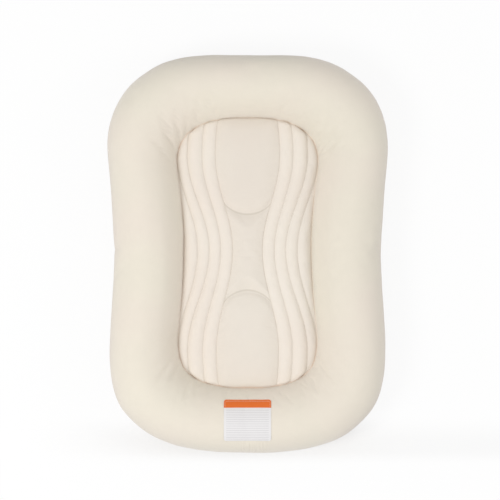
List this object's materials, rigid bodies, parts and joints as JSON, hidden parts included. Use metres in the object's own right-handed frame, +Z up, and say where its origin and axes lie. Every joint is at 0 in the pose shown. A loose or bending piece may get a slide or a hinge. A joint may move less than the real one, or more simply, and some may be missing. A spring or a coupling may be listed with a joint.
{
  "type": "infant lounger",
  "caption": "Soft nest that an infant lies in: a stuffed ring bolster round a quilted pad, in a zip-off cloth cover that is open only along its underside.",
  "frame": {"origin": "centre of the underside, on the surface that the lounger lies on", "axes": "+X across, +Y lengthwise towards the head end, +Z up"},
  "size_m": [0.5216, 0.7371, 0.1191],
  "materials": {
    "cover_cloth": "soft cream knitted cloth",
    "quilt_cloth": "soft cream cloth, quilted",
    "spacer_cloth": "cream spacer mesh",
    "insert_cloth": "plain white lining cloth",
    "fibre": "white polyester fibre",
    "foam": "pale open-cell foam",
    "patch_cloth": "smooth white ribbon with an orange band",
    "zip_tape": "cream woven tape",
    "zip_nylon": "cream nylon coil",
    "zip_metal": "nickel-plated"
  },
  "bodies": {
    "lounger": {"cover_bolster": "cover_cloth", "quilt_face": "quilt_cloth", "quilt_wadding": "fibre", "quilt_backing": "insert_cloth", "base_panel_left": "spacer_cloth", "base_panel_right": "spacer_cloth", "foot_patch": "patch_cloth", "casing_upper": "insert_cloth", "casing_lower": "insert_cloth", "bolster_fill": "fibre", "insert_sling": "insert_cloth", "pad_core": "foam", "zip_tape_left": "zip_tape", "zip_tape_right": "zip_tape", "zip_teeth_left": "zip_nylon", "zip_teeth_right": "zip_nylon", "zip_top_stop_left": "zip_metal", "zip_top_stop_right": "zip_metal", "zip_bottom_stop": "zip_metal"},
    "zip_slider": {"zip_slider": "zip_metal"},
    "zip_pull": {"zip_pull": "zip_metal"}
  },
  "joints": [
    {"name": "zip_slide", "type": "slide", "parent": "lounger", "child": "zip_slider", "axis": [0, -1, 0], "range_m": [0, 0.406]},
    {"name": "pull_swing", "type": "hinge", "parent": "zip_slider", "child": "zip_pull", "pos_m": [0, 0.2032, 0.0031], "axis": [1, 0, 0], "range_deg": [0, 180]}
  ]
}
